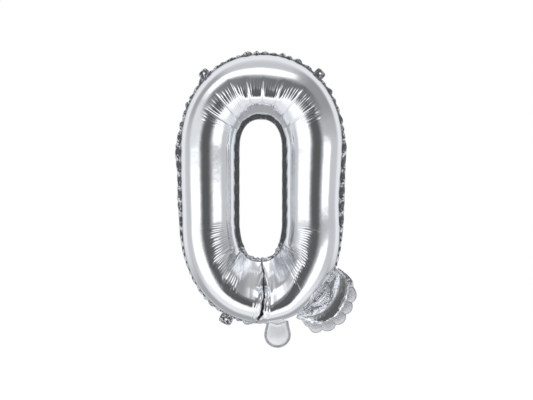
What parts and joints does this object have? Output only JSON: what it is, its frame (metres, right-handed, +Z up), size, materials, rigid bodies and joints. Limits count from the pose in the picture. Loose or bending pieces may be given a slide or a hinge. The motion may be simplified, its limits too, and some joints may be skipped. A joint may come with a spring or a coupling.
{
  "type": "letter foil balloon",
  "caption": "Inflated silver foil balloon in the shape of a capital letter Q, with scalloped weld margins, a tail lobe, a filling neck and hanging tabs.",
  "frame": {"origin": "on the letter's upright centre line, in the seam plane, level with the holes of the two upper hanging tabs", "axes": "+Z up the letter, +X to the right as the letter is read, -Y out of its front face"},
  "size_m": [0.2172, 0.0704, 0.3552],
  "materials": {
    "silver_film": "bright metallised plastic film, mirror-like, taut where it is smooth and finely pleated round the hole",
    "silver_weld": "heat-welded edge of the same film, puckered and a little duller",
    "neck_film": "metallised film that lies slack, with a soft satin shine"
  },
  "bodies": {
    "root": {"ring_front_film": "silver_film", "ring_back_film": "silver_film", "tail_front_film": "silver_film", "tail_back_film": "silver_film", "neck_front_film": "neck_film", "neck_back_film": "neck_film", "outer_margin": "silver_weld", "inner_margin": "silver_weld", "divider_weld": "silver_weld", "tail_weld": "silver_weld", "tail_margin": "silver_weld", "neck_margin": "silver_weld", "hang_tab_upper_left": "silver_weld", "hang_tab_upper_right": "silver_weld", "hang_tab_lower_left": "silver_weld"}
  },
  "joints": []
}
